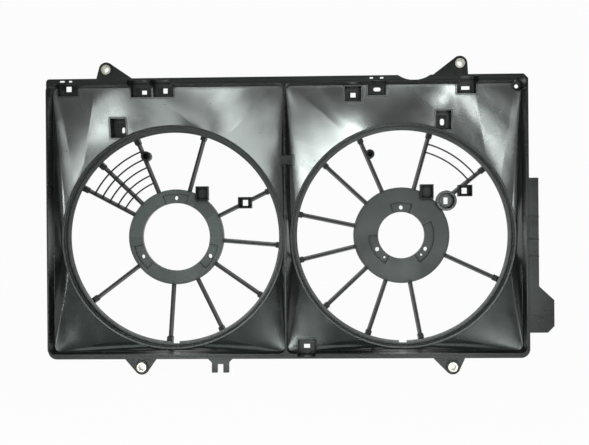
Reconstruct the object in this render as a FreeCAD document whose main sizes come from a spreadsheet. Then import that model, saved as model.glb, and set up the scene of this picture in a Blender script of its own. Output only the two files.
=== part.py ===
"""Radiator fan shroud for two electric fans.

The frame is +X to the right, +Y away from the radiator towards the engine, and +Z up, in
millimetres. The origin is on the middle of the divider's front edge, in the plane that faces the
radiator core. The two fans turn on axes along Y. The moulding is laid out region by region: a
walled frame, two funnels, two stepped fan rings, motor hubs carried on stator arms, ears with
steel sleeves, and the clip towers that hold the wiring.
"""
import FreeCAD, Part
import os
import math
import Sketcher

UP = FreeCAD.Vector(0, 0, 1)
PAST = 1.0  # how far a cutting form runs past the surface that it opens
SUNK = 0.5  # how far a pad starts inside the form that it grows from

# ---------------------------------------------------------------- driving dimensions
SIZES = {
    # frame: outline of the flange, the wall inside it and the divider between the fans
    "frame_left": 350.0, "frame_right": 354.0, "frame_top": 206.0, "frame_bottom": 206.0,
    "flange_top": 7.5, "flange_bottom": 5.0, "flange_right": 2.5, "flange_set_back": 3.0,
    "flange_thickness": 2.5, "wall": 2.5, "wall_depth": 30.0, "skin": 2.5,
    "throat_land": 0.6, "rail_corner": 12.0, "divider_share": 20.0,
    "corner_top_left": 5.0, "corner_chamfer": 6.5, "corner_bottom": 13.0, "corner_inside": 8.0,
    "wave_place": 189.5, "wave_radius": 41.0, "wave_gap": 0.1,
    # fans and their rings
    "fan_left_x": 171.0, "fan_right_x": 175.0, "fan_drop": 28.0, "ring_radius": 169.0,
    "ring_wall": 2.5, "ring_front": 46.0, "ring_step": 54.0, "ring_step_height": 1.2,
    "ledge_front": 64.0, "ledge_thickness": 2.5, "ledge_width": 6.0, "ring_back": 88.0,
    "bead_height": 1.5, "bead_width": 2.5, "notch_width": 11.6, "notch_height": 3.2,
    "notch_overrun": 4.0,
    # motor hubs
    "hub_radius": 73.2, "hub_front": 77.0, "hub_back": 92.0, "hub_plate": 3.0, "hub_wall": 2.5,
    "left_motor_bore": 52.0, "left_screw_circle": 60.0, "right_motor_bore": 35.5,
    "right_screw_circle": 42.5, "screw_hole": 3.25, "screw_boss": 6.0, "screw_boss_back": 90.0,
    "seat_depth": 1.5, "left_seat_radius": 66.5, "right_seat_radius": 50.0, "collar_back": 88.0,
    "hub_rib": 1.8, "hub_rib_gap": 0.1, "locating_hole": 1.6,
    # stator arms, finger guards
    "arm_front": 73.0, "arm_back": 87.0, "arm_front_width": 3.0, "arm_back_width": 7.0,
    "root_width": 9.5, "root_front_width": 8.0, "root_length": 11.0, "arm_overlap": 5.0,
    "guard_width": 2.0, "guard_front": 74.0,
    "guard_depth": 3.5,
    # mounting ears and their steel sleeves
    "ear_radius": 11.0, "ear_back": 13.0, "sleeve_radius": 7.0, "sleeve_bore": 4.5,
    "ear_rib": 2.0, "ear_rib_place": 6.0, "ear_rib_proud": 1.0, "ear_rib_back": 11.0,
    "ear_boss_radius": 9.5,
    # clip towers
    "tower_wall": 1.8, "tower_floor": 2.0, "pocket_lip": 1.0, "window_low": 5.0,
    "window_high": 2.4, "boss_in": 5.0, "boss_down": 3.5, "boss_radius": 8.1, "boss_hole": 3.0,
    "boss_floor": 40.0, "clip_back": 88.0,
    # side air guide and fork bracket
    "guide_narrow": 13.4, "guide_wide": 35.0, "guide_top": 54.9, "guide_shoulder": -102.3,
    "guide_slope_end": -122.5, "guide_foot": -169.6, "guide_corner": 9.5, "guide_rib": 2.0,
    "guide_rib_height": 1.5, "guide_rib_place_1": -2.5, "guide_rib_place_2": -35.5,
    "guide_rib_place_3": -59.8, "guide_mark_radius": 5.8, "guide_mark_rise": 28.0,
    "guide_mark_depth": 0.8,
    "fork_x": -96.2, "fork_neck_width": 36.0, "fork_prong_width": 8.2, "fork_span": 25.0,
    "fork_length": 20.0, "fork_neck": 7.5, "fork_shoulder": 5.25,
    "fork_depth": 9.0,
}

ARMS = {"left": (26, 74, 112, 136, 152, 217, 266, 296, 325, 355),
        "right": (38.5, 74, 113, 137, 168, 193.5, 223, 251, 280.5, 335)}

# Finger guards between arms: start and end angle, and the bars as parts of the ring's radius.
GUARDS = {"left": dict(start=112, end=152, radii=(0.840, 0.764, 0.685, 0.605, 0.530)),
          "right": dict(start=38.5, end=74, radii=(0.856, 0.780))}

# Funnels: the two creases' places along the top wall from the fan's axis, and the angles round
# the ring that the mouth's outline runs to, anticlockwise from the left end of its bottom edge.
CREASES = {
    "left": dict(places=(-29.6, -112.7), angles=(-115, -65, -25, 18, 62, 78, 144, 152, 165, 200)),
    "right": dict(places=(104.4, 31.0), angles=(-115, -65, -20, 15, 30, 42, 93, 118, 162, 205)),
}

# Recessed screw seats of each motor hub: middle angle and half angle.
SEATS = {"left": ((90, 18), (210, 18), (330, 18)), "right": ((90, 20), (210, 30), (344, 41))}
LOCATING_HOLES = (232, 315)
HUB_RIBS = 12

# Clip towers: the place they are measured from, the mouth's centre, width and height from there,
# the floor's depth, and the floor's hole; a round hole has half-round ends.
TOWERS = {
    "left_slot_box": dict(at="left_ring", x=-81.0, z=-4.1, width=23.0, height=28.5, floor=66.0,
                          hole=(4.7, 8.8), shift=(3.0, -1.0), round=True),
    "right_slot_box": dict(at="right_ring", x=61.2, z=2.9, width=22.5, height=27.5, floor=60.0,
                           hole=(6.3, 10.2), shift=(0.0, -1.2), round=True),
    "centre_clip_box": dict(at="top", x=101.5, z=-12.4, width=24.0, height=21.0, floor=50.0,
                            hole=(7.8, 7.0), shift=(0.5, 0.0), round=False),
    "centre_obround_box": dict(at="top", x=136.7, z=-3.8, width=26.4, height=22.0, floor=42.0,
                               hole=(10.9, 5.8), shift=(1.0, -1.5), round=True),
    "upper_right_box": dict(at="top", x=269.1, z=-3.3, width=28.0, height=21.0, floor=46.0,
                            hole=(12.5, 5.4), shift=(0.5, -0.9), round=False),
    "corner_clip": dict(at="top_left", x=22.5, z=-1.9, width=30.0, height=19.0, floor=40.0,
                        hole=(8.0, 8.0), shift=(-1.0, 2.0), round=False),
    "lower_box": dict(at="bottom", x=30.0, z=6.2, width=26.0, height=21.8, floor=42.0,
                      hole=(9.0, 6.0), shift=(0.0, 0.0), round=False),
    "upper_clip_left": dict(at="top", x=-215.2, z=-3.3, width=30.6, height=21.0, floor=46.0,
                            hole=(7.5, 6.0), shift=(2.6, -2.0), round=False),
    "upper_clip_right": dict(at="top", x=-181.5, z=-3.3, width=30.4, height=21.0, floor=42.0,
                             hole=(6.6, 7.6), shift=(1.4, -0.5), round=False),
    "divider_clip": dict(at="middle", x=1.0, z=85.9, width=20.9, height=14.2, floor=39.0,
                         hole=None, shift=None, round=False),
}
CLIP_PAIR = ("upper_clip_left", "upper_clip_right")

# Two towers run up behind the flange, which covers them as a tab with two windows: each window's
# start and end from the tower's middle.
TAB_WINDOWS = {"corner_clip": ((-4.8, 2.7), (8.7, 13.7)),
               "centre_obround_box": ((-11.8, -6.8), (3.3, 8.3))}

# Clip blocks and cups carried by the arms: place from the fan's axis as shares of the hub's or the
# ring's radius, and from there, or from the cable cup; size, depth of the room, and the hole
# through the floor where there is one.
ARM_CLIPS = {
    "left_hub_clip": dict(by="hub_radius", share=(0.553, 0.909), x=0.0, z=0.0, width=19.4,
                          height=21.8, room=7.0, hole=None),
    "left_arm_clip": dict(by="ring_radius", share=(0.631, 0.306), x=0.0, z=0.0, width=21.2,
                          height=17.4, room=13.0, hole=(8.0, 9.0)),
    "right_hub_clip": dict(by="hub_radius", share=(0.537, 0.907), x=0.0, z=0.0, width=20.1,
                           height=22.3, room=7.0, hole=None),
    "right_arm_clip": dict(by="cable_cup", x=28.6318, z=15.093, width=21.2, height=17.4,
                           room=13.0, hole=(8.0, 9.0)),
}
ARM_CUPS = {
    "left_arm_peg": dict(by="ring_radius", share=(-0.270, 0.737), x=0.0, z=0.0, radius=7.6,
                         bore=4.4, hole=None),
    "right_arm_peg": dict(by="ring_radius", share=(-0.279, 0.738), x=0.0, z=0.0, radius=7.0,
                          bore=4.0, hole=None),
    "cable_cup": dict(by="hub_radius", share=(0.8, 0.6), x=10.3212, z=8.418, radius=15.5,
                      bore=12.0, hole=(6.4, 10.0)),
}

# Mounting ears: sleeve centre along X and beyond the flange's edge, and the ear's two feet.
EARS = {
    "upper_left_ear": dict(above=True, x=-260.8, beyond=12.7, first=-275.5, last=-223.0),
    "upper_right_ear": dict(above=True, x=255.6, beyond=15.8, first=217.0, last=267.5),
    "lower_left_ear": dict(above=False, x=-211.6, beyond=11.6, first=-236.0, last=-190.0),
    "lower_right_ear": dict(above=False, x=242.1, beyond=12.6, first=214.0, last=260.0),
}


# ---------------------------------------------------------------- sizes and their expressions
class Size:
    """A number that remembers the spreadsheet expression it is worked out from."""

    def __init__(self, value, text):
        self.value = float(value)
        self.text = text

    def __add__(self, other):
        other = sized(other)
        return Size(self.value + other.value, f"({self.text} + {other.text})")

    def __sub__(self, other):
        other = sized(other)
        return Size(self.value - other.value, f"({self.text} - {other.text})")

    def __mul__(self, other):
        other = sized(other)
        return Size(self.value * other.value, f"({self.text} * {other.text})")

    def __truediv__(self, other):
        other = sized(other)
        return Size(self.value / other.value, f"({self.text} / {other.text})")

    def __neg__(self):
        return Size(-self.value, f"(-1 * {self.text})")

    def __radd__(self, other):
        return sized(other) + self

    def __rsub__(self, other):
        return sized(other) - self

    def __rmul__(self, other):
        return sized(other) * self


def sized(number):
    return number if isinstance(number, Size) else Size(number, repr(float(number)))


def cosine(angle):
    return Size(math.cos(math.radians(angle.value)), f"cos({angle.text})")


def sine(angle):
    return Size(math.sin(math.radians(angle.value)), f"sin({angle.text})")


doc = FreeCAD.newDocument("RadiatorFanShroud")
sheet = doc.addObject("Spreadsheet::Sheet", "Sizes")


def fill_sheet():
    """Write every driving dimension into the sheet and return them by name."""
    numbers = dict(SIZES)
    for name, part in {**TOWERS, **ARM_CLIPS, **ARM_CUPS, **EARS}.items():
        for key, number in part.items():
            if isinstance(number, float):
                numbers[f"{name}_{key}"] = number
            elif isinstance(number, tuple):
                numbers[f"{name}_{key}_x"], numbers[f"{name}_{key}_z"] = number
    for name, windows in TAB_WINDOWS.items():
        for place, (start, end) in enumerate(windows, start=1):
            numbers[f"{name}_window_{place}_start"] = start
            numbers[f"{name}_window_{place}_end"] = end
    for side in ("left", "right"):
        for place, angle in enumerate(ARMS[side], start=1):
            numbers[f"{side}_arm_angle_{place}"] = angle
        for place, (middle, half) in enumerate(SEATS[side], start=1):
            numbers[f"{side}_seat_{place}_middle"] = middle
            numbers[f"{side}_seat_{place}_half"] = half
        for place, x in enumerate(CREASES[side]["places"], start=1):
            numbers[f"{side}_crease_place_{place}"] = x
        for place, angle in enumerate(CREASES[side]["angles"], start=1):
            numbers[f"{side}_crease_angle_{place}"] = angle
        numbers[f"{side}_guard_start"] = GUARDS[side]["start"]
        numbers[f"{side}_guard_end"] = GUARDS[side]["end"]
        for place, part in enumerate(GUARDS[side]["radii"], start=1):
            numbers[f"{side}_guard_part_{place}"] = part
    for row, (name, number) in enumerate(numbers.items(), start=1):
        sheet.set(f"A{row}", name)
        sheet.set(f"B{row}", str(number))
        sheet.setAlias(f"B{row}", name)
    doc.recompute()
    return {name: Size(number, f"Sizes.{name}") for name, number in numbers.items()}


S = fill_sheet()


# ---------------------------------------------------------------- small helpers
def bind(obj, **properties):
    """Set properties and tie each to its expression; double underscores stand for dots."""
    for name, size in properties.items():
        path = name.replace("__", ".")
        size = sized(size)
        if "." not in path:
            setattr(obj, path, size.value)
        obj.setExpression(path, size.text)


def place(obj, x=0, y=0, z=0, axis=None, angle=0):
    """Put an object at x, y, z, turned by an angle about an axis, all tied to the sheet."""
    x, y, z, angle = (sized(number) for number in (x, y, z, angle))
    turn = FreeCAD.Rotation(axis or UP, angle.value)
    obj.Placement = FreeCAD.Placement(FreeCAD.Vector(x.value, y.value, z.value), turn)
    bind(obj, Placement__Base__x=x, Placement__Base__y=y, Placement__Base__z=z)
    return obj


def box(name, x, y, z):
    """A block between two sizes along each axis."""
    block = doc.addObject("Part::Box", name)
    bind(block, Length=x[1] - x[0], Width=y[1] - y[0], Height=z[1] - z[0])
    return place(block, x[0], y[0], z[0])


def disc(name, radius, x, z, front, back, start=None, end=None):
    """A cylinder along +Y from front to back, or the sector of it between two angles."""
    solid = doc.addObject("Part::Cylinder", name)
    bind(solid, Radius=radius, Height=back - front)
    turn = FreeCAD.Rotation(FreeCAD.Vector(1, 0, 0), 90)
    if start is not None:
        bind(solid, Angle=end - start)
        turn = turn.multiply(FreeCAD.Rotation(UP, start.value))
    solid.Placement = FreeCAD.Placement(FreeCAD.Vector(0, 0, 0), turn)
    bind(solid, Placement__Base__x=x, Placement__Base__y=back, Placement__Base__z=z)
    return solid


def join(name, parts):
    if len(parts) == 1:
        return parts[0]
    fused = doc.addObject("Part::MultiFuse", name)
    fused.Shapes = parts
    return fused


def cut(name, base, tool):
    result = doc.addObject("Part::Cut", name)
    result.Base = base
    result.Tool = tool
    return result


def carve(name, base, tools):
    """Cut a form with several tools, one after another."""
    for number, tool in enumerate(tools, start=1):
        base = cut(f"{name}_cut_{number}", base, tool)
    return base


def common(name, base, tool):
    result = doc.addObject("Part::Common", name)
    result.Base = base
    result.Tool = tool
    return result


def group(name, parts):
    bundle = doc.addObject("Part::Compound", name)
    bundle.Links = parts
    return bundle


# ---------------------------------------------------------------- sketches
def plane(body, role):
    return next(item for item in body.Origin.OriginFeatures if item.Role == role)


def sketch_in(body, name, role="XZ_Plane", front=None):
    """A sketch on one of the body's own planes; front is its place along +Y on the XZ plane."""
    sketch = body.newObject("Sketcher::SketchObject", name)
    sketch.AttachmentSupport = (plane(body, role), [""])
    sketch.MapMode = "FlatFace"
    if front is not None:
        bind(sketch, AttachmentOffset__Base__z=-sized(front))
    doc.recompute()
    return sketch


def fix(sketch, kind, places, size):
    """Add a measured constraint and tie it to its expression."""
    size = sized(size)
    index = sketch.addConstraint(Sketcher.Constraint(kind, *places, size.value))
    sketch.setExpression(f"Constraints[{index}]", size.text)


def fix_point(sketch, edge, end, point):
    """Hold one end of an edge at a point given as a pair of sizes."""
    for kind, axis, size in (("DistanceX", -2, point[0]), ("DistanceY", -1, point[1])):
        if abs(sized(size).value) < 1e-9:
            sketch.addConstraint(Sketcher.Constraint("PointOnObject", edge, end, axis))
        else:
            fix(sketch, kind, (-1, 1, edge, end), size)


def vector(point):
    return FreeCAD.Vector(sized(point[0]).value, sized(point[1]).value, 0)


def outline(sketch, points, arcs=()):
    """A closed line through points; arcs gives (edge number, centre, radius), turning left."""
    rounds = {edge: (centre, radius) for edge, centre, radius in arcs}
    edges = []
    for number, point in enumerate(points):
        start, end = vector(point), vector(points[(number + 1) % len(points)])
        if number in rounds:
            centre, radius = vector(rounds[number][0]), rounds[number][1]
            circle = Part.Circle(centre, FreeCAD.Vector(0, 0, 1), sized(radius).value)
            first = math.atan2(start.y - centre.y, start.x - centre.x)
            last = math.atan2(end.y - centre.y, end.x - centre.x)
            edges.append(sketch.addGeometry(Part.ArcOfCircle(circle, first, last), False))
        else:
            edges.append(sketch.addGeometry(Part.LineSegment(start, end), False))
    for number, edge in enumerate(edges):
        following = edges[(number + 1) % len(edges)]
        sketch.addConstraint(Sketcher.Constraint("Coincident", edge, 2, following, 1))
        fix_point(sketch, edge, 1, points[number])
        if number in rounds:
            fix(sketch, "Radius", (edge,), rounds[number][1])
    return edges


def circle(sketch, x, z, radius):
    centre = vector((x, z))
    ring = Part.Circle(centre, FreeCAD.Vector(0, 0, 1), sized(radius).value)
    edge = sketch.addGeometry(ring, False)
    fix_point(sketch, edge, 3, (x, z))
    fix(sketch, "Radius", (edge,), radius)
    return edge


def rounded_rectangle(sketch, x, z, radius):
    """A rectangle between two sizes each way, with one radius at all four corners."""
    (left, right), (low, high) = x, z
    near_left, near_right = left + radius, right - radius
    near_low, near_high = low + radius, high - radius
    points = [(near_left, low), (near_right, low), (right, near_low), (right, near_high),
              (near_right, high), (near_left, high), (left, near_high), (left, near_low)]
    arcs = [(1, (near_right, near_low), radius), (3, (near_right, near_high), radius),
            (5, (near_left, near_high), radius), (7, (near_left, near_low), radius)]
    return outline(sketch, points, arcs)


def new_body(name):
    body = doc.addObject("PartDesign::Body", name)
    doc.recompute()
    return body


def pad(body, sketch, length):
    """Extrude a sketch towards +Y."""
    feature = body.newObject("PartDesign::Pad", sketch.Name + "_pad")
    feature.Profile = sketch
    feature.Reversed = True
    bind(feature, Length=length)
    doc.recompute()
    return feature


def pocket(body, sketch, length):
    """Cut a sketch towards +Y, and make sure that it removed something."""
    before = body.Shape.Volume
    feature = body.newObject("PartDesign::Pocket", sketch.Name + "_pocket")
    feature.Profile = sketch
    bind(feature, Length=length)
    doc.recompute()
    if body.Shape.Volume > before - 1e-3:
        raise RuntimeError(f"{feature.Name} cuts nothing")
    return feature


def revolve(body, sketch):
    """Turn a sketch on the XY plane once round the body's Y axis."""
    feature = body.newObject("PartDesign::Revolution", sketch.Name + "_turned")
    feature.Profile = sketch
    feature.ReferenceAxis = (sketch, ["V_Axis"])
    feature.Angle = 360
    doc.recompute()
    return feature


def polar(body, features, count):
    """Repeat features evenly round the body's Y axis."""
    pattern = body.newObject("PartDesign::PolarPattern", features[0].Name + "_ring")
    pattern.Originals = features
    pattern.Axis = (next(f for f in body.Origin.OriginFeatures if f.Role == "Y_Axis"), [""])
    pattern.Angle = 360
    pattern.Occurrences = count
    body.Tip = pattern
    doc.recompute()
    return pattern


NODES = {}


def node(name, obj):
    """Keep a finished sub-part under the name of its file."""
    obj.Label = name
    NODES[name] = obj
    return obj


# ---------------------------------------------------------------- shared places
wall_left = S["wall"] - S["frame_left"]
wall_right = S["frame_right"] - S["flange_right"] - S["wall"]
wall_top = S["frame_top"] - S["flange_top"] - S["wall"]
wall_bottom = S["flange_bottom"] + S["wall"] - S["frame_bottom"]
divider_side = S["wall"] / 2
flange_back = S["flange_set_back"] + S["flange_thickness"]
funnel_back = S["wall_depth"] + S["skin"]
FANS = {
    "left": dict(x=-S["fan_left_x"], mouth=(wall_left, -divider_side)),
    "right": dict(x=S["fan_right_x"], mouth=(divider_side, wall_right)),
}
fan_z = -S["fan_drop"]
mouth_z = (wall_bottom, wall_top)
skirt = S["ring_radius"] - S["ring_wall"] - S["ring_step_height"]
ledge_bore = skirt - S["ledge_width"]
PLACES = {"middle": (sized(0), sized(0)), "top": (sized(0), wall_top),
          "bottom": (sized(0), wall_bottom), "top_left": (wall_left, wall_top),
          "left_ring": (FANS["left"]["x"], fan_z + S["ring_radius"]),
          "right_ring": (FANS["right"]["x"], fan_z + S["ring_radius"])}


# ---------------------------------------------------------------- clip towers
def tower_centre(name):
    x, z = PLACES[TOWERS[name]["at"]]
    return x + S[f"{name}_x"], z + S[f"{name}_z"]


def tower_mouth(name, grow=0.0):
    """The two sizes that bound a tower's mouth along X and along Z."""
    half_width = S[f"{name}_width"] / 2 + grow
    half_height = S[f"{name}_height"] / 2 + grow
    x, z = tower_centre(name)
    return (x - half_width, x + half_width), (z - half_height, z + half_height)


def tower_block(name):
    """The tower's outer block; it starts in front of everything and is trimmed later."""
    x, z = tower_mouth(name, S["tower_wall"])
    return box(f"{name}_outer", x, (sized(0), S[f"{name}_floor"] + S["tower_floor"]), z)


def slot(name, x, z, size, y, rounded):
    """A hole along Y about x, z: a plain rectangle, or one with half-round ends."""
    half_width, half_height = size[0] / 2, size[1] / 2
    if not rounded:
        return box(name, (x - half_width, x + half_width), y, (z - half_height, z + half_height))
    if size[0].value > size[1].value:
        radius, reach, rise = half_height, half_width - half_height, sized(0)
    else:
        radius, reach, rise = half_width, sized(0), half_height - half_width
    side_x, side_z = (radius, rise) if reach.value == 0 else (reach, radius)
    middle = box(f"{name}_middle", (x - side_x, x + side_x), y, (z - side_z, z + side_z))
    ends = [disc(f"{name}_end_{number}", radius, x + reach * sign, z + rise * sign, *y)
            for number, sign in enumerate((-1, 1))]
    return join(name, [middle] + ends)


def tower_hollow(name):
    """The room inside a tower and the hole through its floor."""
    x, z = tower_mouth(name)
    floor = S[f"{name}_floor"]
    room = box(f"{name}_room", x, (sized(-2 * PAST), floor), z)
    if TOWERS[name]["hole"] is None:
        return room
    centre_x, centre_z = tower_centre(name)
    hole = slot(f"{name}_hole", centre_x + S[f"{name}_shift_x"], centre_z + S[f"{name}_shift_z"],
                (S[f"{name}_hole_x"], S[f"{name}_hole_z"]),
                (floor - PAST, floor + S["tower_floor"] + PAST), TOWERS[name]["round"])
    return join(f"{name}_hollow", [room, hole])


def tab_mouth(name):
    """The part of a tab tower's mouth below the flange, and the two windows in the tab."""
    x, (low, high) = tower_mouth(name)
    mouth = box(f"{name}_mouth", x, (sized(-2 * PAST), S[f"{name}_floor"]),
                (low, wall_top + S["wall"]))
    centre = tower_centre(name)[0]
    windows = [box(f"{name}_window_{number}",
                   (centre + S[f"{name}_window_{number}_start"],
                    centre + S[f"{name}_window_{number}_end"]),
                   (sized(0), flange_back + PAST),
                   (S["frame_top"] - S["window_low"], S["frame_top"] - S["window_high"]))
               for number in (1, 2)]
    return join(f"{name}_tab", [mouth] + windows)


def open_top(name):
    """The space over a tab tower's room, which has no upper wall behind the flange."""
    x, (low, high) = tower_mouth(name)
    return box(f"{name}_top", x, (flange_back, S[f"{name}_floor"]),
               (high - PAST, high + S["tower_wall"] + PAST))


# ---------------------------------------------------------------- perimeter frame
def build_frame():
    """Flange, drafted wall and divider, with the wave in the top flange."""
    body = new_body("frame_moulding")
    left, right = -S["frame_left"], S["frame_right"]
    top, bottom = S["frame_top"], -S["frame_bottom"]
    small, large, chamfer = S["corner_top_left"], S["corner_bottom"], S["corner_chamfer"]
    points = [(left + large, bottom), (right - large, bottom), (right, bottom + large),
              (right, top - chamfer), (right - chamfer, top), (left + small, top),
              (left, top - small), (left, bottom + large)]
    arcs = [(1, (right - large, bottom + large), large), (5, (left + small, top - small), small),
            (7, (left + large, bottom + large), large)]
    flange = sketch_in(body, "flange_outline", front=S["flange_set_back"])
    outline(flange, points, arcs)
    pad(body, flange, S["flange_thickness"])
    wave = sketch_in(body, "wave", front=S["flange_set_back"] - PAST)
    circle(wave, S["wave_place"], wall_top + S["wall"] + S["wave_radius"] + S["wave_gap"],
           S["wave_radius"])
    pocket(body, wave, S["flange_thickness"] + 2 * PAST)
    wall = sketch_in(body, "wall_outline", front=0)
    rounded_rectangle(wall, (wall_left - S["wall"], wall_right + S["wall"]),
                      (wall_bottom - S["wall"], wall_top + S["wall"]),
                      S["corner_inside"] + S["wall"])
    pad(body, wall, funnel_back)
    for side, fan in FANS.items():
        mouth = sketch_in(body, f"{side}_mouth", front=-PAST)
        rounded_rectangle(mouth, fan["mouth"], mouth_z, S["corner_inside"])
        pocket(body, mouth, funnel_back + 2 * PAST)
    return body


def region(name, whole, x, z):
    """The part of a moulding that lies between two places along X and along Z."""
    far = 2 * S["frame_right"]
    x, z = ((first or -far, last or far) for first, last in (x, z))
    return node(name, common(f"{name}_region", whole, box(f"{name}_bounds", x, (-far, far), z)))


def split_frame(frame):
    """The four rails, with their corners on the long ones, and the divider between the fans."""
    low, high = wall_bottom + S["rail_corner"], wall_top - S["rail_corner"]
    side = S["divider_share"]
    region("lower_rail", frame, (None, None), (None, low))
    region("upper_rail", frame, (None, None), (high, None))
    region("left_rail", frame, (None, -side), (low, high))
    region("divider", frame, (-side, side), (low, high))
    region("right_rail", frame, (side, None), (low, high))


# ---------------------------------------------------------------- funnels
def loose_sketch(name, front):
    """A sketch on its own, facing the radiator, at a place along +Y."""
    sketch = doc.addObject("Sketcher::SketchObject", name)
    front = sized(front)
    sketch.Placement = FreeCAD.Placement(FreeCAD.Vector(0, front.value, 0),
                                         FreeCAD.Rotation(FreeCAD.Vector(1, 0, 0), 90))
    bind(sketch, Placement__Base__y=front)
    return sketch


def creased_mouth(sketch, side, fan):
    """The funnel's rounded mouth, with its top edge divided where the creases start."""
    (left, right), (low, high) = fan["mouth"], mouth_z
    radius = S["corner_inside"]
    near_left, near_right = left + radius, right - radius
    near_low, near_high = low + radius, high - radius
    points = [(near_left, low), (near_right, low), (right, near_low), (right, near_high),
              (near_right, high), (fan["x"] + S[f"{side}_crease_place_1"], high),
              (fan["x"] + S[f"{side}_crease_place_2"], high), (near_left, high),
              (left, near_high), (left, near_low)]
    arcs = [(1, (near_right, near_low), radius), (3, (near_right, near_high), radius),
            (7, (near_left, near_high), radius), (9, (near_left, near_low), radius)]
    outline(sketch, points, arcs)


def creased_throat(sketch, side, fan, radius):
    """The ring's circle, divided at the angles that the mouth's corners and creases run to."""
    angles = [S[f"{side}_crease_angle_{number}"] for number in range(1, 11)]
    points = [(fan["x"] + radius * cosine(angle), fan_z + radius * sine(angle))
              for angle in angles]
    outline(sketch, points, [(edge, (fan["x"], fan_z), radius) for edge in range(len(points))])


def funnel_solid(side, fan, name, shift, land):
    """A solid from the rounded mouth to a circle round the ring, moved back by a shift."""
    mouth = loose_sketch(f"{side}_{name}_mouth", S["wall_depth"] + shift)
    creased_mouth(mouth, side, fan)
    throat = loose_sketch(f"{side}_{name}_throat", S["ring_front"] + shift)
    creased_throat(throat, side, fan, S["ring_radius"] + land)
    loft = doc.addObject("Part::Loft", f"{side}_{name}")
    loft.Sections = [mouth, throat]
    loft.Solid = True
    loft.Ruled = True
    doc.recompute()
    return loft, mouth


def prism(name, profile, length):
    """Extrude a loose sketch along Y; a negative length goes towards the radiator."""
    solid = doc.addObject("Part::Extrusion", name)
    solid.Base = profile
    solid.DirMode = "Custom"
    solid.Dir = FreeCAD.Vector(0, 1, 0)
    solid.Solid = True
    bind(solid, LengthFwd=length)
    return solid


def build_funnels():
    """Both funnels' outer forms and the space in front of each."""
    for side, fan in FANS.items():
        back, back_mouth = funnel_solid(side, fan, "funnel_back", S["skin"], S["throat_land"])
        front, front_mouth = funnel_solid(side, fan, "funnel_front", sized(0), sized(0))
        rim = prism(f"{side}_funnel_rim", front_mouth, S["skin"])
        forward = prism(f"{side}_funnel_forward", front_mouth, -(S["wall_depth"] + 2 * PAST))
        throat = disc(f"{side}_throat", S["ring_radius"], fan["x"], fan_z,
                      S["ring_front"], S["ring_front"] + S["skin"] + PAST)
        form = join(f"{side}_funnel_form", [back, rim])
        fan["space"] = join(f"{side}_funnel_space", [front, forward])
        opening = join(f"{side}_funnel_opening", [front, forward, throat])
        fan["shell"] = cut(f"{side}_funnel_shell", form, opening)
        fan["barrel"] = disc(f"{side}_barrel", S["ring_radius"], fan["x"], fan_z,
                             sized(0), S["ring_back"])


def split_funnel(side, shell):
    """A funnel's upper and lower halves, which meet at its two narrow necks."""
    region(f"{side}_lower_funnel", shell, (None, None), (None, fan_z))
    region(f"{side}_upper_funnel", shell, (None, None), (fan_z, None))


# ---------------------------------------------------------------- fan rings
def build_ring(side, fan):
    """The stepped barrel round a fan: front lip, step, inward ledge, skirt and back bead."""
    body = new_body(f"{side}_ring_moulding")
    section = sketch_in(body, f"{side}_ring_section", role="XY_Plane")
    outer = S["ring_radius"]
    inner = outer - S["ring_wall"]
    front, back = S["ring_front"], S["ring_back"]
    ledge_back = S["ledge_front"] + S["ledge_thickness"]
    bead = back - S["bead_width"]
    outline(section, [
        (inner, front), (outer, front), (outer, bead), (outer + S["bead_height"], bead),
        (outer + S["bead_height"], back), (skirt, back), (skirt, ledge_back),
        (ledge_bore, ledge_back), (ledge_bore, S["ledge_front"]), (skirt, S["ledge_front"]),
        (skirt, S["ring_step"]), (inner, S["ring_step"])])
    revolve(body, section)
    notch = sketch_in(body, f"{side}_ring_notch", front=S["ledge_front"] - PAST)
    half = S["notch_width"] / 2
    top, low = S["notch_overrun"] - ledge_bore, -(ledge_bore + S["notch_height"])
    outline(notch, [(-half, low), (half, low), (half, top), (-half, top)])
    pocket(body, notch, S["ledge_thickness"] + 2 * PAST)
    place(body, fan["x"], 0, fan_z)
    return node(f"{side}_fan_ring", body)


# ---------------------------------------------------------------- motor hubs
def sector_outline(sketch, inner, outer, middle, half_angle):
    """A closed sector between two radii, centred on an angle."""
    start, end = sized(middle) - half_angle, sized(middle) + half_angle
    corners = [(radius * cosine(angle), radius * sine(angle)) for radius, angle in
               ((outer, start), (outer, end), (inner, end), (inner, start))]
    first = Part.Circle(FreeCAD.Vector(0, 0, 0), UP, outer.value)
    second = Part.Circle(FreeCAD.Vector(0, 0, 0), UP, inner.value)
    low, high = math.radians(start.value), math.radians(end.value)
    edges = [sketch.addGeometry(Part.ArcOfCircle(first, low, high), False),
             sketch.addGeometry(Part.LineSegment(vector(corners[1]), vector(corners[2])), False),
             sketch.addGeometry(Part.ArcOfCircle(second, low, high), False),
             sketch.addGeometry(Part.LineSegment(vector(corners[3]), vector(corners[0])), False)]
    for one, one_end, two, two_end in ((0, 2, 1, 1), (1, 2, 2, 2), (2, 1, 3, 1), (3, 2, 0, 1)):
        sketch.addConstraint(
            Sketcher.Constraint("Coincident", edges[one], one_end, edges[two], two_end))
    for edge, end_number, corner in ((0, 1, 0), (0, 2, 1), (2, 2, 2), (2, 1, 3)):
        fix_point(sketch, edges[edge], end_number, corners[corner])
    fix(sketch, "Radius", (edges[0],), outer)
    fix(sketch, "Radius", (edges[2],), inner)


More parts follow.
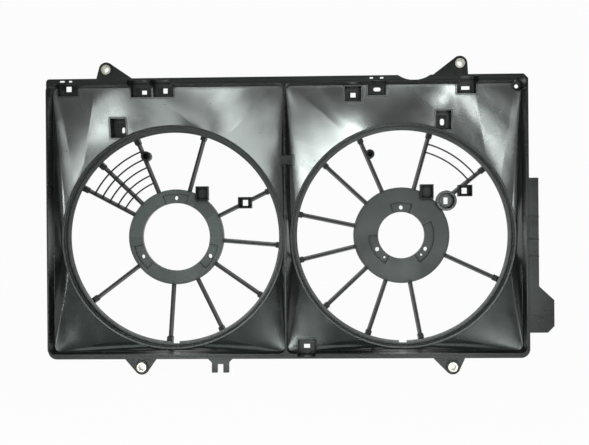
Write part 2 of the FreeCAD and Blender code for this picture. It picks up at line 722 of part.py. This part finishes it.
def build_hub(side, fan, clips):
    """An annular plate with screw seats, bosses and ribs, a rim round it and a bore collar."""
    bore, screw_circle = S[f"{side}_motor_bore"], S[f"{side}_screw_circle"]
    front, plate_back = S["hub_front"], S["hub_front"] + S["hub_plate"]
    outer, wall = S["hub_radius"], S["hub_wall"]
    body = new_body(f"{side}_hub_moulding")
    section = sketch_in(body, f"{side}_hub_section", role="XY_Plane")
    outline(section, [(bore, front), (outer - wall, front), (outer - wall, plate_back),
                      (bore, plate_back)])
    revolve(body, section)
    ribs = sketch_in(body, f"{side}_hub_rib", front=plate_back - SUNK)
    half = S["hub_rib"] / 2
    end = outer - wall - S["hub_rib_gap"]
    outline(ribs, [(-half, bore + wall), (half, bore + wall), (half, end), (-half, end)])
    polar(body, [pad(body, ribs, S["collar_back"] - plate_back + SUNK)], HUB_RIBS)
    bosses = sketch_in(body, f"{side}_screw_boss", front=plate_back - SUNK)
    circle(bosses, sized(0), screw_circle, S["screw_boss"])
    polar(body, [pad(body, bosses, S["screw_boss_back"] - plate_back + SUNK)], 3)
    for number in range(1, len(SEATS[side]) + 1):
        seat = sketch_in(body, f"{side}_screw_seat_{number}", front=front - PAST)
        sector_outline(seat, bore - PAST, S[f"{side}_seat_radius"],
                       S[f"{side}_seat_{number}_middle"], S[f"{side}_seat_{number}_half"])
        pocket(body, seat, S["seat_depth"] + PAST)
    holes = sketch_in(body, f"{side}_screw_hole", front=front)
    circle(holes, sized(0), screw_circle, S["screw_hole"])
    polar(body, [pocket(body, holes, S["screw_boss_back"] - front + PAST)], 3)
    if side == "right":
        for angle in LOCATING_HOLES:
            hole = sketch_in(body, f"locating_hole_{angle}", front=front)
            circle(hole, screw_circle * cosine(sized(angle)), screw_circle * sine(sized(angle)),
                   S["locating_hole"])
            pocket(body, hole, S["hub_plate"] + PAST)
    place(body, fan["x"], 0, fan_z)
    node(f"{side}_motor_hub", cut(f"{side}_hub_cut", body, clips))
    rim = new_body(f"{side}_rim_moulding")
    section = sketch_in(rim, f"{side}_rim_section", role="XY_Plane")
    outline(section, [(outer - wall, front), (outer, front), (outer, S["hub_back"]),
                      (outer - wall, S["hub_back"])])
    revolve(rim, section)
    place(rim, fan["x"], 0, fan_z)
    node(f"{side}_hub_rim", cut(f"{side}_rim_cut", rim, clips))
    collar = cut(f"{side}_collar",
                 disc(f"{side}_collar_outer", bore + wall, fan["x"], fan_z, plate_back,
                      S["collar_back"]),
                 disc(f"{side}_collar_bore", bore, fan["x"], fan_z, front, S["hub_back"]))
    node(f"{side}_bore_collar", cut(f"{side}_collar_cut", collar, body))


# ---------------------------------------------------------------- stator arms and guards
def wedge(name, fan, angle, reach, widths):
    """A radial blade, narrow at its front and wide at its back."""
    blade = doc.addObject("Part::Wedge", name)
    front, back = S["arm_front"], S["arm_back"]
    bind(blade, Xmin=reach[0], X2min=reach[0], Xmax=reach[1], X2max=reach[1], Ymin=front,
         Ymax=back, Zmin=-widths[0] / 2, Zmax=widths[0] / 2, Z2min=-widths[1] / 2,
         Z2max=widths[1] / 2)
    place(blade, fan["x"], 0, fan_z, axis=FreeCAD.Vector(0, -1, 0), angle=angle)
    bind(blade, Placement__Rotation__Angle=angle)
    return blade


def build_arms(side, fan, blocks):
    """Ten tapered blades with thicker roots, trimmed to the hub and the ring's skirt."""
    blades = []
    for number in range(1, len(ARMS[side]) + 1):
        angle = S[f"{side}_arm_angle_{number}"]
        blades.append(wedge(f"{side}_arm_{number}", fan, angle,
                            (S["hub_radius"] - S["arm_overlap"], skirt + PAST),
                            (S["arm_front_width"], S["arm_back_width"])))
        blades.append(wedge(f"{side}_root_{number}", fan, angle,
                            (skirt - S["root_length"], skirt + PAST),
                            (S["root_front_width"], S["root_width"])))
    front, back = S["arm_front"] - PAST, S["arm_back"] + PAST
    reach = cut(f"{side}_arm_reach",
                disc(f"{side}_arm_reach_outer", skirt, fan["x"], fan_z, front, back),
                disc(f"{side}_arm_reach_inner", S["hub_radius"], fan["x"], fan_z,
                     front - PAST, back + PAST))
    trimmed = common(f"{side}_arms_trimmed", join(f"{side}_arm_blades", blades), reach)
    return node(f"{side}_stator_arms", cut(f"{side}_arms", trimmed, blocks))


def build_guard(side, fan, arms, blocks):
    """Curved bars that close the widest gaps between arms, cut flush to the arms."""
    start, end = S[f"{side}_guard_start"], S[f"{side}_guard_end"]
    front, back = S["guard_front"], S["guard_front"] + S["guard_depth"]
    half = S["guard_width"] / 2
    bars = []
    for number in range(1, len(GUARDS[side]["radii"]) + 1):
        radius = S[f"{side}_guard_part_{number}"] * S["ring_radius"]
        outer = disc(f"{side}_bar_{number}_outer", radius + half, fan["x"], fan_z, front, back,
                     start, end)
        inner = disc(f"{side}_bar_{number}_inner", radius - half, fan["x"], fan_z, front - PAST,
                     back + PAST)
        bars.append(cut(f"{side}_bar_{number}", outer, inner))
    keep_out = join(f"{side}_guard_keep_out", [arms, blocks])
    return node(f"{side}_finger_guard",
                cut(f"{side}_guard", group(f"{side}_guard_bars", bars), keep_out))


# ---------------------------------------------------------------- clips and cups on the arms
def arm_part_centre(name, fan, part):
    """The middle of a clip or a cup on the arms."""
    if part["by"] == "cable_cup":
        x, z = arm_part_centre("cable_cup", fan, ARM_CUPS["cable_cup"])
    else:
        radius = S[part["by"]]
        x = fan["x"] + S[f"{name}_share_x"] * radius
        z = fan_z + S[f"{name}_share_z"] * radius
    return x + S[f"{name}_x"], z + S[f"{name}_z"]


def floor_hole(name, x, z, part, floor, back):
    """The hole through a clip's or a cup's floor, as a list that is empty where it has none."""
    if part["hole"] is None:
        return []
    size = (S[f"{name}_hole_x"], S[f"{name}_hole_z"])
    return [slot(f"{name}_hole", x, z, size, (floor - PAST, back + PAST), False)]


def build_arm_clips(side, fan):
    """Open-fronted blocks and cups that the arms run into; returns their outer forms."""
    outers = []
    front, back = S["arm_front"], S["clip_back"]
    for name, part in ARM_CLIPS.items():
        if not name.startswith(side):
            continue
        x, z = arm_part_centre(name, fan, part)
        half_width, half_height = S[f"{name}_width"] / 2, S[f"{name}_height"] / 2
        inner_width, inner_height = half_width - S["tower_wall"], half_height - S["tower_wall"]
        floor = front + S[f"{name}_room"]
        outer = box(f"{name}_outer", (x - half_width, x + half_width), (front, back),
                    (z - half_height, z + half_height))
        room = box(f"{name}_inner", (x - inner_width, x + inner_width), (front - PAST, floor),
                   (z - inner_height, z + inner_height))
        away = [room] + floor_hole(name, x, z, part, floor, back)
        node(name, cut(f"{name}_block", outer, join(f"{name}_hollow", away)))
        outers.append(outer)
    for name, part in ARM_CUPS.items():
        if not (name.startswith(side) or (name == "cable_cup" and side == "right")):
            continue
        x, z = arm_part_centre(name, fan, part)
        floor = back - S["tower_floor"]
        outer = disc(f"{name}_outer", S[f"{name}_radius"], x, z, front, back)
        room = disc(f"{name}_inner", S[f"{name}_bore"], x, z, front - PAST, floor)
        away = [room] + floor_hole(name, x, z, part, floor, back)
        node(name, cut(f"{name}_shell", outer, join(f"{name}_hollow", away)))
        outers.append(outer)
    return join(f"{side}_arm_clip_blocks", outers)


# ---------------------------------------------------------------- ears and sleeves
def build_ear(name):
    """A plate that narrows from the flange's edge to a boss round its steel sleeve."""
    x, first, last = S[f"{name}_x"], S[f"{name}_first"], S[f"{name}_last"]
    above = EARS[name]["above"]
    edge = S["frame_top"] if above else -S["frame_bottom"]
    z = edge + S[f"{name}_beyond"] if above else edge - S[f"{name}_beyond"]
    radius = S["ear_radius"]
    body = new_body(f"{name}_moulding")
    plate = sketch_in(body, f"{name}_plate", front=S["flange_set_back"])
    centre = vector((x, z))
    starts = (last, first) if above else (first, last)
    touches = []
    for foot, sign in zip(starts, (1, -1)):
        base = vector((foot, edge))
        away = base - centre
        spread = math.acos(radius.value / away.Length)
        direction = math.atan2(away.y, away.x) + sign * spread
        touches.append(direction)
    on_arc = [FreeCAD.Vector(centre.x + radius.value * math.cos(a),
                             centre.y + radius.value * math.sin(a), 0) for a in touches]
    feet = [vector((foot, edge)) for foot in starts]
    arc = Part.ArcOfCircle(Part.Circle(centre, UP, radius.value), touches[0], touches[1])
    edges = [plate.addGeometry(Part.LineSegment(feet[0], on_arc[0]), False),
             plate.addGeometry(arc, False),
             plate.addGeometry(Part.LineSegment(on_arc[1], feet[1]), False),
             plate.addGeometry(Part.LineSegment(feet[1], feet[0]), False)]
    plate.addConstraint(Sketcher.Constraint("Tangent", edges[0], 2, edges[1], 1))
    plate.addConstraint(Sketcher.Constraint("Tangent", edges[1], 2, edges[2], 1))
    plate.addConstraint(Sketcher.Constraint("Coincident", edges[2], 2, edges[3], 1))
    plate.addConstraint(Sketcher.Constraint("Coincident", edges[3], 2, edges[0], 1))
    fix_point(plate, edges[0], 1, (starts[0], edge))
    fix_point(plate, edges[2], 2, (starts[1], edge))
    fix_point(plate, edges[1], 3, (x, z))
    fix(plate, "Radius", (edges[1],), radius)
    pad(body, plate, S["flange_thickness"])
    for number, side in enumerate((-1, 1)):
        rib = sketch_in(body, f"{name}_rib_{number}",
                        front=S["flange_set_back"] - S["ear_rib_proud"])
        middle = x + S["ear_rib_place"] * side
        near, far = middle - S["ear_rib"] / 2, middle + S["ear_rib"] / 2
        low, high = (edge, z) if above else (z, edge)
        outline(rib, [(near, low), (far, low), (far, high), (near, high)])
        pad(body, rib, S["ear_rib_back"] - S["flange_set_back"] + S["ear_rib_proud"])
    boss = sketch_in(body, f"{name}_boss", front=0)
    circle(boss, x, z, S["ear_boss_radius"])
    pad(body, boss, S["ear_back"])
    bore = sketch_in(body, f"{name}_bore", front=-PAST)
    circle(bore, x, z, S["sleeve_radius"])
    pocket(body, bore, S["ear_back"] + 2 * PAST)
    node(name, body)
    outer = disc(f"{name}_sleeve_outer", S["sleeve_radius"], x, z, sized(0), S["ear_back"])
    inner = disc(f"{name}_sleeve_inner", S["sleeve_bore"], x, z, sized(-PAST), S["ear_back"] + PAST)
    return cut(f"{name}_sleeve", outer, inner)


# ---------------------------------------------------------------- side guide and fork
def build_guide():
    """The flat air guide beside the frame, with cross ribs and a shallow round mark."""
    body = new_body("side_guide_moulding")
    inside = S["frame_right"]
    narrow, wide = inside + S["guide_narrow"], inside + S["guide_wide"]
    foot, corner = S["guide_foot"], S["guide_corner"]
    face = sketch_in(body, "guide_face", front=S["flange_set_back"])
    outline(face, [(inside, foot), (wide - corner, foot), (wide, foot + corner),
                   (wide, S["guide_slope_end"]), (narrow, S["guide_shoulder"]),
                   (narrow, S["guide_top"]), (inside, S["guide_top"])])
    pad(body, face, S["flange_thickness"])
    for number in (1, 2, 3):
        height = S[f"guide_rib_place_{number}"]
        rib = sketch_in(body, f"guide_rib_{number}",
                        front=S["flange_set_back"] - S["guide_rib_height"])
        outline(rib, [(inside, height), (narrow, height),
                      (narrow, height + S["guide_rib"]), (inside, height + S["guide_rib"])])
        pad(body, rib, S["guide_rib_height"] + SUNK)
    mark = sketch_in(body, "guide_mark", front=S["flange_set_back"] - PAST)
    circle(mark, inside + S["guide_wide"] / 2, foot + S["guide_mark_rise"],
           S["guide_mark_radius"])
    pocket(body, mark, S["guide_mark_depth"] + PAST)
    node("side_air_guide", body)


def build_fork():
    """The two-pronged bracket under the frame."""
    body = new_body("fork_moulding")
    face = sketch_in(body, "fork_face", front=S["flange_set_back"])
    x, edge = S["fork_x"], -S["frame_bottom"]
    outer, inner = S["fork_span"] / 2, S["fork_span"] / 2 - S["fork_prong_width"]
    neck, tip = edge - S["fork_neck"], edge - S["fork_length"]
    shoulder = edge - S["fork_shoulder"]
    half = S["fork_neck_width"] / 2
    outline(face, [(x - outer, tip), (x - inner, tip), (x - inner, neck), (x + inner, neck),
                   (x + inner, tip), (x + outer, tip), (x + outer, shoulder), (x + half, edge),
                   (x - half, edge), (x - outer, shoulder)])
    pad(body, face, S["fork_depth"])
    node("fork_bracket", body)


# ---------------------------------------------------------------- assembly
def front_trim():
    """The spaces in front of the flange and of the funnels, which trim the towers' mouths."""
    outline_sketch = loose_sketch("wall_outer", S["flange_set_back"])
    rounded_rectangle(outline_sketch, (wall_left - S["wall"], wall_right + S["wall"]),
                      (wall_bottom - S["wall"], wall_top + S["wall"]),
                      S["corner_inside"] + S["wall"])
    inside = prism("inside_wall", outline_sketch, -(S["flange_set_back"] + 2 * PAST))
    slab = box("flange_slab", (-S["frame_left"] - PAST, S["frame_right"] + PAST),
               (sized(-PAST), S["flange_set_back"]),
               (-S["frame_bottom"] - PAST, S["frame_top"] + PAST))
    spaces = []
    for side, fan in FANS.items():
        lip = group(f"{side}_lip_space", [fan["space"]])
        spaces += [place(lip, 0, -S["pocket_lip"], 0), fan["barrel"]]
    return [cut("flange_front", slab, inside)] + spaces


def build_towers(frame):
    """Every clip tower, trimmed to the surface it stands behind.

    Returns the towers' outer forms, which open the funnels, and their rooms, which open the
    frame: where a tower stands under the flange, the flange and wall form part of its sides.
    """
    trim = front_trim()
    outers = {name: tower_block(name) for name in TOWERS}
    rooms = {name: tower_hollow(name) for name in TOWERS}
    for name in TOWERS:
        if name not in CLIP_PAIR:
            extra = [open_top(name)] if name in TAB_WINDOWS else []
            node(name, carve(name, outers[name], [rooms[name], frame] + extra + trim))
    pair = join("upper_pair_outer", [outers[name] for name in CLIP_PAIR])
    away = [rooms[name] for name in CLIP_PAIR] + [frame] + trim
    node("upper_clip_pair", carve("upper_pair", pair, away))
    x, z = wall_right - S["boss_in"], wall_top - S["boss_down"]
    floor = S["boss_floor"]
    back = floor + S["tower_floor"]
    boss = disc("corner_boss_outer", S["boss_radius"] + S["tower_wall"], x, z, sized(0), back)
    room = disc("corner_boss_room", S["boss_radius"], x, z, sized(-2 * PAST), floor)
    hole = disc("corner_boss_hole", S["boss_hole"], x, z, floor - PAST, back + PAST)
    node("corner_boss", carve("corner_boss", boss, [room, hole, frame] + trim))
    openings = [tab_mouth(name) if name in TAB_WINDOWS else rooms[name] for name in TOWERS]
    return (join("tower_blocks", list(outers.values()) + [boss]),
            join("frame_openings", openings + [room]))


def build():
    frame = build_frame()
    build_funnels()
    blocks, rooms = build_towers(frame)
    split_frame(cut("frame_cut", frame, rooms))
    for side, fan in FANS.items():
        split_funnel(side, cut(f"{side}_funnel_cut", fan["shell"], blocks))
        build_ring(side, fan)
        clips = build_arm_clips(side, fan)
        build_hub(side, fan, clips)
        arms = build_arms(side, fan, clips)
        build_guard(side, fan, arms, clips)
    node("compression_sleeves", group("sleeves", [build_ear(name) for name in EARS]))
    build_guide()
    build_fork()


def check_and_export():
    """Stop on a failed object or a bad shape, then write one STEP file for each sub-part."""
    doc.recompute()
    failed = [obj.Name for obj in doc.Objects if {"Invalid", "Error"} & set(obj.State)]
    if failed:
        raise RuntimeError("failed objects: " + ", ".join(failed))
    os.makedirs("parts", exist_ok=True)
    for name, obj in NODES.items():
        shape = obj.Shape
        if shape.isNull() or not shape.isValid() or not shape.Solids:
            raise RuntimeError(f"{name} has no valid solid")
        shape.exportStep(f"parts/{name}.step")
        print(f"{name:22s} solids {len(shape.Solids)} volume {shape.Volume / 1000:8.2f} cm3")


build()
check_and_export()
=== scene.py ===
"""Looks for a radiator fan shroud: moulded black plastic with four zinc-plated sleeves."""

import math

import bpy
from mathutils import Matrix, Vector


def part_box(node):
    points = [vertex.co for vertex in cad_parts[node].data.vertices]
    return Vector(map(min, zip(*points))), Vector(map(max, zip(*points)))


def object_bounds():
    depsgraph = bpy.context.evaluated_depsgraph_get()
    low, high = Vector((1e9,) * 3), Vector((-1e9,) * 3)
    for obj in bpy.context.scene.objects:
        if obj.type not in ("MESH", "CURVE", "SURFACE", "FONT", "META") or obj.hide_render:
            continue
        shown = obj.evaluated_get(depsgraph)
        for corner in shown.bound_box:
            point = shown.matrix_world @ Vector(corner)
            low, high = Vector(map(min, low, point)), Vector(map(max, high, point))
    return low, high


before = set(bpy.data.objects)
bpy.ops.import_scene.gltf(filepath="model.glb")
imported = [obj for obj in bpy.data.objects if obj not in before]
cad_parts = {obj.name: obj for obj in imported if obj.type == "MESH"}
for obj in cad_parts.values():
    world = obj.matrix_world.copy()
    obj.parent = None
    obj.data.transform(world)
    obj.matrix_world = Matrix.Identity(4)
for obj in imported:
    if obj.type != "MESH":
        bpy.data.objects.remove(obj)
CAD_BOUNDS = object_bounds()
MM = 0.001

# The camera looks along +Y at the side that faces the radiator.
# Distances are in metres, angles in degrees, lens and sensor in millimetres.
CAMERA = dict(distance=1.40, aim_x=0.014, aim_z=-0.0073, yaw=1.8, roll=0.45, lens=58.8,
              sensor=36.0)

LAMPS = {
    # name: place, point it faces, width, height, watts
    "left_box": ((-0.375, -1.10, -0.09), (-0.14, 0, 0.1), 0.18, 0.27, 1.5),
    "left_inner_box": ((-0.25, -1.10, -0.17), (-0.1, 0, 0.1), 0.11, 0.13, 1.0),
    "right_box": ((0.335, -1.10, -0.13), (0.14, 0, 0.1), 0.18, 0.22, 4.2),
    "right_small_box": ((0.22, -1.10, 0.13), (0.3, 0, -0.18), 0.10, 0.08, 0.4),
    "low_box": ((-0.25, -0.62, -0.19), (-0.17, 0, 0.16), 0.42, 0.12, 1.0),
    "front_fill": ((0.0, -2.4, 0.9), (0, 0, 0), 3.0, 1.2, 4),
    "top_box": ((-0.2, -0.6, 1.6), (0, 0, 0), 1.4, 0.8, 6),
}
LAMP_COLOUR = (0.90, 1.0, 0.965)
WORLD_STRENGTH = 0.08

FLOOR_SIZE, WALL_SIZE, WALL_BEHIND = 60.0, 8.0, 2.2
BACKDROP_WHITE = 0.97

# Black plastics: name: tint, roughness, flow marks' stretch, specular level.
BLACK = (0.014, 0.0165, 0.0155)
# Painted shade: the ring and the frame take a darker copy of the funnel's black, for the shade
# on their walls.
SHADED_BLACK = (0.009, 0.0105, 0.01)
EVEN = (1, 1, 1)
PLASTICS = {
    "funnel": (BLACK, 0.17, EVEN, 0.62),
    "ring": (SHADED_BLACK, 0.27, EVEN, 0.62),
    # Painted shade: the arms' tint is darker again, for the shade on the sides of the thin
    # ribs.
    "arm": ((0.007, 0.008, 0.0075), 0.42, EVEN, 0.25),
    "frame": (SHADED_BLACK, 0.27, (0.4, 1, 2.5), 0.45),
    "left_hub": ((0.052, 0.059, 0.056), 0.38, EVEN, 0.35),
    "right_hub": ((0.018, 0.0205, 0.0195), 0.38, EVEN, 0.35),
}
HUB_SECTORS, SECTOR_SEED = 12, 3.0
PLASTIC_EDGE, SLEEVE_EDGE = 0.6 * MM, 0.3 * MM
CREVICE_REACH = 6 * MM
ZINC_BRIGHT, ZINC_DULL = (0.66, 0.63, 0.55, 1), (0.46, 0.43, 0.36, 1)


# ---------------------------------------------------------------- shader helpers
class Shader:
    """A material's node tree with short calls for the nodes it uses."""

    def __init__(self, name):
        self.material = bpy.data.materials.new(name)
        self.material.use_nodes = True
        self.tree = self.material.node_tree
        self.tree.nodes.clear()
        self.output = self.node("ShaderNodeOutputMaterial")
        self.place = self.node("ShaderNodeTexCoord").outputs["Object"]

    def node(self, kind, **settings):
        made = self.tree.nodes.new(kind)
        for key, value in settings.items():
            setattr(made, key, value)
        return made

    def link(self, source, target):
        self.tree.links.new(source, target)

    def feed(self, socket, value):
        """Link an output to a socket, or set the socket's constant."""
        if isinstance(value, bpy.types.NodeSocket):
            self.link(value, socket)
        else:
            socket.default_value = value

    def stretched(self, scale):
        mapping = self.node("ShaderNodeMapping")
        mapping.inputs["Scale"].default_value = scale
        self.link(self.place, mapping.inputs["Vector"])
        return mapping.outputs["Vector"]

    def noise(self, scale, detail=4.0, roughness=0.55, stretch=(1, 1, 1), distortion=0.0):
        made = self.node("ShaderNodeTexNoise")
        self.link(self.stretched(stretch), made.inputs["Vector"])
        made.inputs["Scale"].default_value = scale
        made.inputs["Detail"].default_value = detail
        made.inputs["Roughness"].default_value = roughness
        made.inputs["Distortion"].default_value = distortion
        return made.outputs["Fac"]

    def ramp(self, value, low, high, start=0.0, end=1.0):
        """Map a value from low..high to start..end, held at both ends."""
        made = self.node("ShaderNodeMapRange")
        for key, number in (("From Min", low), ("From Max", high), ("To Min", start),
                            ("To Max", end)):
            made.inputs[key].default_value = number
        self.link(value, made.inputs["Value"])
        return made.outputs["Result"]

    def math(self, operation, first, second=0.0):
        made = self.node("ShaderNodeMath", operation=operation)
        self.feed(made.inputs[0], first)
        self.feed(made.inputs[1], second)
        return made.outputs["Value"]

    def mix(self, factor, first, second):
        made = self.node("ShaderNodeMix", data_type="RGBA")
        self.feed(made.inputs["Factor"], factor)
        self.feed(made.inputs["A"], first)
        self.feed(made.inputs["B"], second)
        return made.outputs["Result"]

    def bump(self, height, strength, distance, normal=None):
        made = self.node("ShaderNodeBump")
        made.inputs["Strength"].default_value = strength
        made.inputs["Distance"].default_value = distance
        self.link(height, made.inputs["Height"])
        if normal is not None:
            self.link(normal, made.inputs["Normal"])
        return made.outputs["Normal"]

    def rounded(self, radius):
        made = self.node("ShaderNodeBevel", samples=4)
        made.inputs["Radius"].default_value = radius
        return made.outputs["Normal"]

    def crevices(self, distance):
        """1 on open faces, falling towards 0 in corners and narrow grooves."""
        made = self.node("ShaderNodeAmbientOcclusion", samples=8)
        made.inputs["Distance"].default_value = distance
        return made.outputs["AO"]

    def sectors(self, centre, count, seed):
        """A random grey for each of count sectors round a centre in the XZ plane."""
        split = self.node("ShaderNodeSeparateXYZ")
        self.link(self.place, split.inputs["Vector"])
        x = self.math("SUBTRACT", split.outputs["X"], centre[0])
        z = self.math("SUBTRACT", split.outputs["Z"], centre[2])
        turn = self.math("ARCTAN2", z, x)
        step = self.math("FLOOR", self.math("MULTIPLY", turn, count / math.tau))
        grey = self.node("ShaderNodeTexWhiteNoise", noise_dimensions="1D")
        self.link(self.math("ADD", step, seed), grey.inputs["W"])
        return grey.outputs["Value"]

    def surface(self, **inputs):
        shader = self.node("ShaderNodeBsdfPrincipled")
        for key, value in inputs.items():
            self.feed(shader.inputs[key.replace("_", " ")], value)
        self.link(shader.outputs["BSDF"], self.output.inputs["Surface"])
        return self.material


# ---------------------------------------------------------------- materials
def shade(tint, times):
    return (*(times * channel for channel in tint), 1)


def moulded_plastic(name, tint, gloss, flow, shine, centre=None):
    """Glass-filled nylon: cloudy gloss, stretched flow marks, fine grain, light scuffs and
    painted shade in corners and grooves.

    A centre adds a random grey to each sector round it, as on the ribbed hubs.
    """
    shader = Shader(name)
    cloud = shader.noise(6.0, detail=2.0, distortion=0.5)
    marks = shader.noise(16.0, detail=6.0, roughness=0.65, stretch=flow, distortion=0.8)
    grain = shader.noise(900.0, detail=2.0)
    scuffs = shader.noise(60.0, detail=8.0, roughness=0.75, stretch=(1, 1, 5))
    # The crevice mask carries painted shade into corners and grooves; it also keeps scuffs to
    # open faces and roughens the crevices.
    open_face = shader.ramp(shader.crevices(CREVICE_REACH), 0.45, 0.95)
    worn = shader.math("MULTIPLY", shader.ramp(scuffs, 0.64, 0.74), open_face)
    dusty = shader.ramp(marks, 0.35, 0.75)
    if centre is not None:
        grey = shader.sectors(centre, HUB_SECTORS, SECTOR_SEED)
        dusty = shader.math("ADD", shader.math("MULTIPLY", dusty, 0.5),
                            shader.math("MULTIPLY", grey, 0.6))
    colour = shader.mix(dusty, shade(tint, 0.6), shade(tint, 1.5))
    colour = shader.mix(shader.math("MULTIPLY", worn, 0.3), colour, shade(tint, 3))
    # Painted shade: the colour falls to 0.12 of the tint in corners and narrow grooves.
    colour = shader.mix(open_face, shade(tint, 0.12), colour)
    rough = shader.math("ADD", shader.ramp(cloud, 0.3, 0.7, gloss - 0.05, gloss + 0.05),
                        shader.ramp(marks, 0.3, 0.75, -0.03, 0.05))
    rough = shader.math("ADD", rough, shader.math("MULTIPLY", worn, 0.10))
    rough = shader.math("ADD", rough, shader.ramp(open_face, 0.0, 1.0, 0.3, 0.0))
    normal = shader.bump(cloud, 0.7, 0.004, shader.rounded(PLASTIC_EDGE))
    normal = shader.bump(marks, 0.10, 0.0008, normal)
    normal = shader.bump(grain, 0.2, 0.00005, normal)
    return shader.surface(Base_Color=colour, Roughness=rough, Normal=normal,
                          Specular_IOR_Level=shine)


def zinc(name):
    """Steel with dulled zinc plating and fine turning marks."""
    shader = Shader(name)
    stain = shader.noise(220.0, detail=5.0)
    lines = shader.noise(90.0, detail=3.0, stretch=(1, 14, 1))
    colour = shader.mix(shader.ramp(stain, 0.4, 0.7), ZINC_BRIGHT, ZINC_DULL)
    rough = shader.ramp(lines, 0.3, 0.7, 0.28, 0.48)
    normal = shader.bump(lines, 0.3, 0.00008, shader.rounded(SLEEVE_EDGE))
    return shader.surface(Base_Color=colour, Metallic=1.0, Roughness=rough, Normal=normal)


def backdrop(name, white):
    """A pale surface that the camera sees as plain white, with the object's shadow on it."""
    shader = Shader(name)
    path = shader.node("ShaderNodeLightPath")
    seen = shader.math("MAXIMUM", path.outputs["Is Camera Ray"], path.outputs["Is Glossy Ray"])
    seen = shader.math("MAXIMUM", seen, path.outputs["Is Transmission Ray"])
    paper = shader.ramp(shader.noise(40.0, detail=3.0), 0.3, 0.7, 0.78, 0.82)
    diffuse = shader.node("ShaderNodeBsdfDiffuse")
    grey = shader.node("ShaderNodeCombineColor")
    for channel in ("Red", "Green", "Blue"):
        shader.link(paper, grey.inputs[channel])
    shader.link(grey.outputs["Color"], diffuse.inputs["Color"])
    glow = shader.node("ShaderNodeEmission")
    glow.inputs["Strength"].default_value = 1.0
    blend = shader.node("ShaderNodeMixShader")
    shader.link(shader.math("MULTIPLY", seen, white), blend.inputs["Fac"])
    shader.link(diffuse.outputs["BSDF"], blend.inputs[1])
    shader.link(glow.outputs["Emission"], blend.inputs[2])
    shader.link(blend.outputs["Shader"], shader.output.inputs["Surface"])
    return shader.material


def middle(name):
    low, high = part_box(name)
    return [(first + last) / 2 for first, last in zip(low, high)]


def dress_nodes():
    """Give every CAD node its material."""
    plastics = {}
    for name, (tint, gloss, flow, shine) in PLASTICS.items():
        side = name.removesuffix("_hub")
        centre = middle(f"{side}_motor_hub") if side != name else None
        plastics[name] = moulded_plastic(f"{name}_plastic", tint, gloss, flow, shine, centre)
    metal = zinc("sleeve_zinc")
    for name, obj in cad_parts.items():
        if name == "compression_sleeves":
            chosen = metal
        elif "funnel" in name:
            chosen = plastics["funnel"]
        elif "motor_hub" in name or "hub_rim" in name:
            chosen = plastics[f"{name.split('_')[0]}_hub"]
        elif "ring" in name:
            chosen = plastics["ring"]
        elif "arm" in name or "finger" in name or "hub" in name:
            chosen = plastics["arm"]
        else:
            chosen = plastics["frame"]
        for slot in obj.material_slots:
            slot.material = chosen


# ---------------------------------------------------------------- stage, lamps, camera
def build_stage():
    """A floor under the shroud and a wall well behind it."""
    low = CAD_BOUNDS[0][2]
    for name, size, place, turn in (("floor", FLOOR_SIZE, (0, 0, low), 0),
                                    ("wall", WALL_SIZE, (0, WALL_BEHIND, 0), 90)):
        bpy.ops.mesh.primitive_plane_add(size=size, location=place,
                                         rotation=(math.radians(turn), 0, 0))
        plane = bpy.context.object
        plane.name = name
        plane.data.materials.append(backdrop(f"{name}_paper", BACKDROP_WHITE))


def aim(obj, target):
    obj.rotation_euler = (Vector(target) - obj.location).to_track_quat("-Z", "Y").to_euler()


def build_lamps():
    for name, (place, target, width, height, watts) in LAMPS.items():
        data = bpy.data.lights.new(name, "AREA")
        data.shape = "RECTANGLE"
        data.size, data.size_y, data.energy = width, height, watts
        data.color = LAMP_COLOUR
        lamp = bpy.data.objects.new(name, data)
        bpy.context.collection.objects.link(lamp)
        lamp.location = place
        aim(lamp, target)
        lamp.visible_camera = False
    world = bpy.data.worlds.new("studio")
    bpy.context.scene.world = world
    world.use_nodes = True
    background = world.node_tree.nodes["Background"]
    background.inputs["Color"].default_value = (*LAMP_COLOUR, 1)
    background.inputs["Strength"].default_value = WORLD_STRENGTH


def build_camera():
    data = bpy.data.cameras.new("camera")
    data.lens, data.sensor_width = CAMERA["lens"], CAMERA["sensor"]
    camera = bpy.data.objects.new("camera", data)
    bpy.context.collection.objects.link(camera)
    yaw = math.radians(CAMERA["yaw"])
    camera.location = (CAMERA["aim_x"] + CAMERA["distance"] * math.sin(yaw),
                       -CAMERA["distance"] * math.cos(yaw), CAMERA["aim_z"])
    camera.rotation_euler = (math.radians(90), 0, yaw)
    camera.rotation_euler.rotate_axis("Z", math.radians(-CAMERA["roll"]))
    bpy.context.scene.camera = camera


dress_nodes()
build_stage()
build_lamps()
build_camera()
bpy.context.scene.view_settings.view_transform = "Standard"
